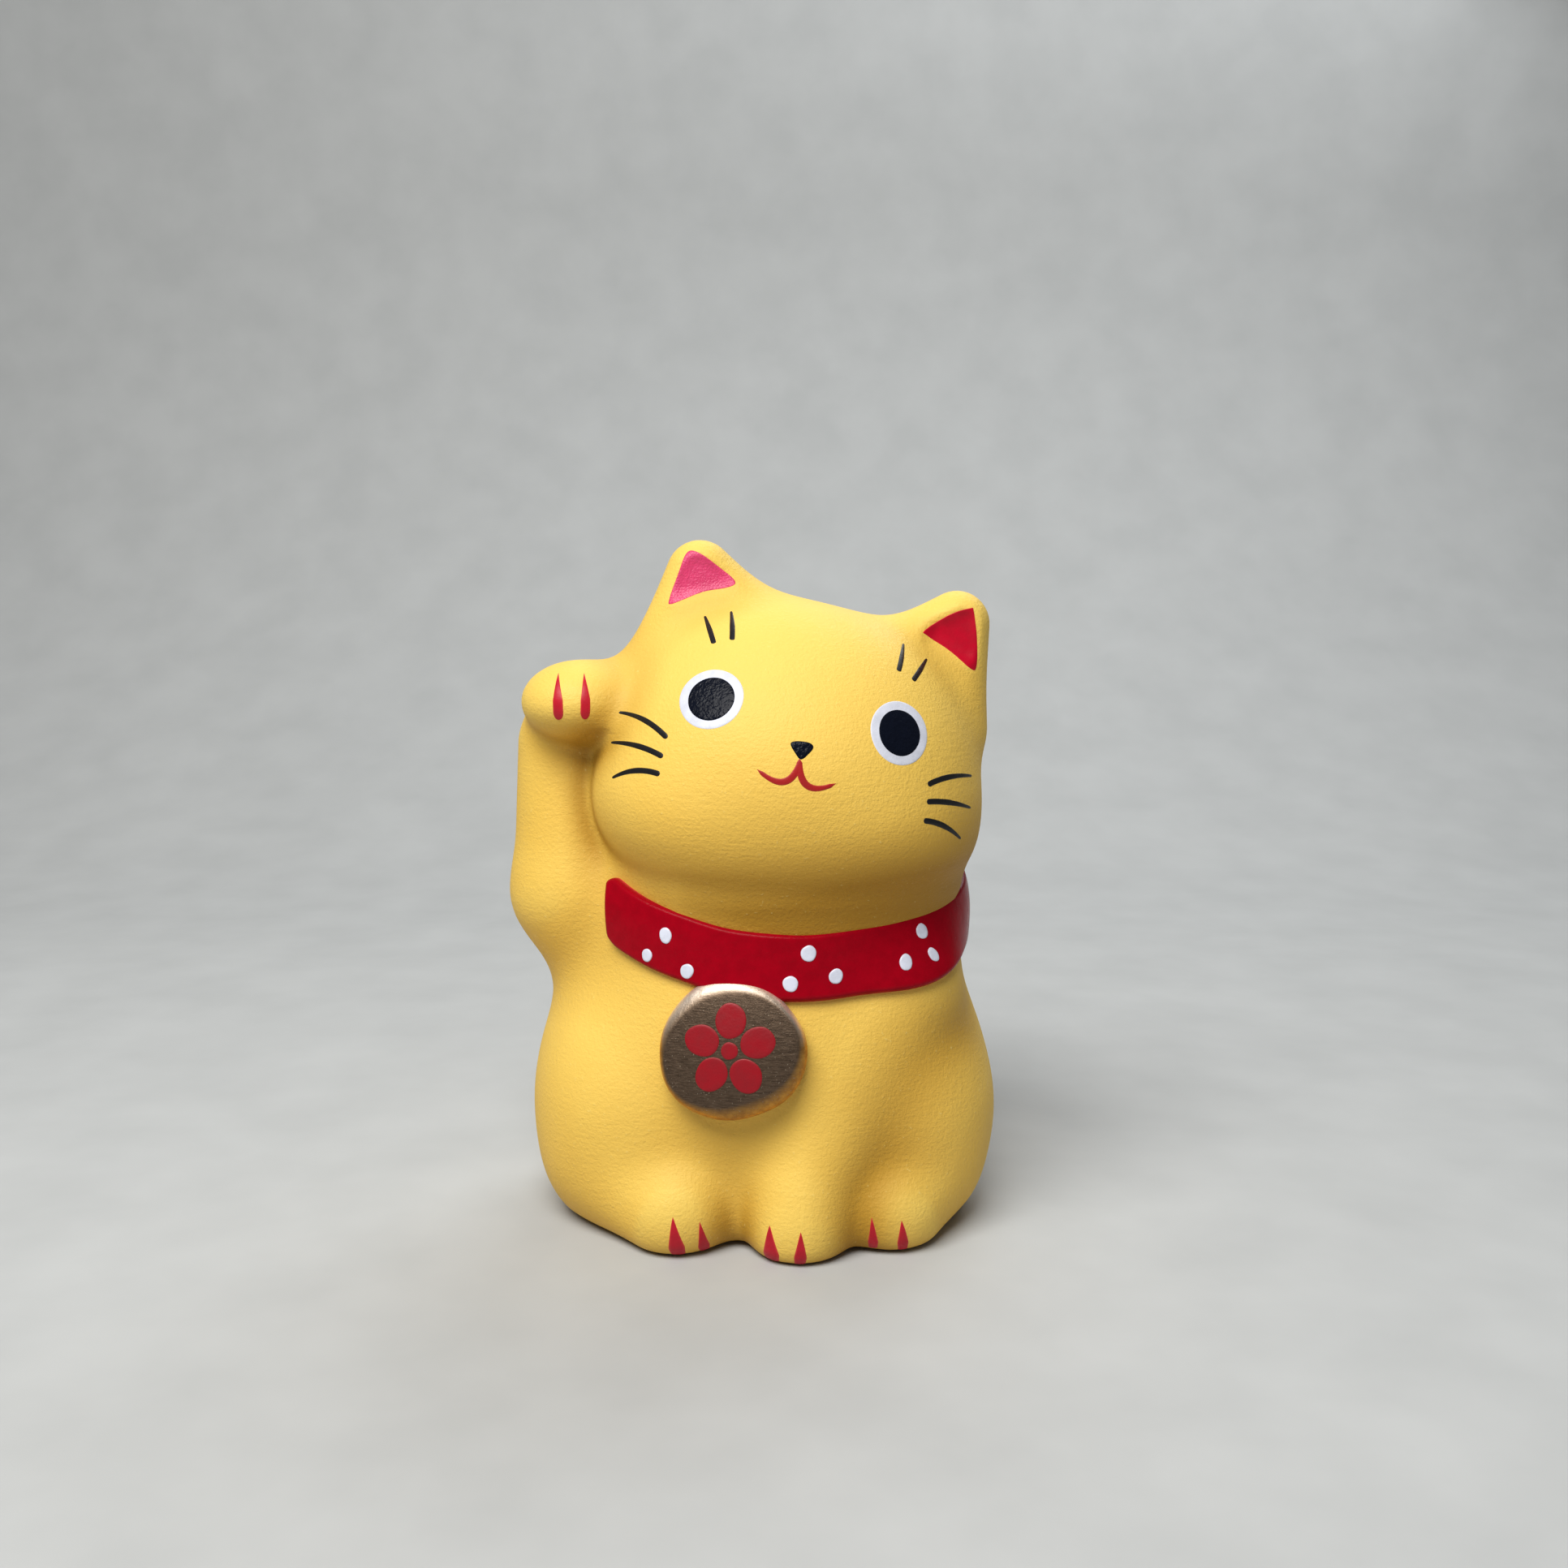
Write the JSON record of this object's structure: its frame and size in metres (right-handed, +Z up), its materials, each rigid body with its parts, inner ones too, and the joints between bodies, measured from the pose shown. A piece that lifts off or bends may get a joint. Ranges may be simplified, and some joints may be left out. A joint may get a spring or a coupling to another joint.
{
  "type": "beckoning cat figurine",
  "caption": "Small seated ceramic cat with one paw raised beside its tilted head, a dotted collar, a round chest medallion and painted features, resting on a flat base.",
  "frame": {"origin": "centre of the overall box on the plane the base rests on", "axes": "+Z up, the cat faces -Y, its raised arm is on the -X side"},
  "size_m": [0.0736, 0.0586, 0.1003],
  "materials": {
    "yellow_body": "matte cold-painted, slightly grained",
    "collar_red": "glossy enamel",
    "dot_white": "glossy enamel",
    "medallion_gold": "metallic gold paint, brushed and worn",
    "blossom_red": "matte enamel",
    "ear_pink": "satin enamel, unevenly brushed",
    "eye_white": "satin enamel",
    "black_enamel": "semi-gloss enamel, finely pitted",
    "mouth_red": "satin enamel",
    "line_black": "satin enamel",
    "claw_red": "satin enamel"
  },
  "bodies": {
    "root": {"body_shell": "yellow_body", "collar_band": "collar_red", "dot_1": "dot_white", "dot_2": "dot_white", "dot_3": "dot_white", "dot_4": "dot_white", "dot_5": "dot_white", "dot_6": "dot_white", "dot_7": "dot_white", "dot_8": "dot_white", "dot_9": "dot_white", "medallion": "medallion_gold", "blossom_petal_1": "blossom_red", "blossom_petal_2": "blossom_red", "blossom_petal_3": "blossom_red", "blossom_petal_4": "blossom_red", "blossom_petal_5": "blossom_red", "blossom_heart": "blossom_red", "ear_lining_left": "ear_pink", "ear_lining_right": "ear_pink", "eye_white_left": "eye_white", "pupil_left": "black_enamel", "eye_white_right": "eye_white", "pupil_right": "black_enamel", "nose": "black_enamel", "mouth_left": "mouth_red", "mouth_right": "mouth_red", "whisker_left_top": "line_black", "whisker_left_middle": "line_black", "whisker_left_bottom": "line_black", "whisker_right_top": "line_black", "whisker_right_middle": "line_black", "whisker_right_bottom": "line_black", "brow_left_outer": "line_black", "brow_left_inner": "line_black", "brow_right_inner": "line_black", "brow_right_outer": "line_black", "claw_raised_outer": "claw_red", "claw_raised_inner": "claw_red", "claw_left_foot_outer": "claw_red", "claw_left_foot_inner": "claw_red", "claw_front_paw_outer": "claw_red", "claw_front_paw_inner": "claw_red", "claw_right_foot_inner": "claw_red", "claw_right_foot_outer": "claw_red"}
  },
  "joints": []
}
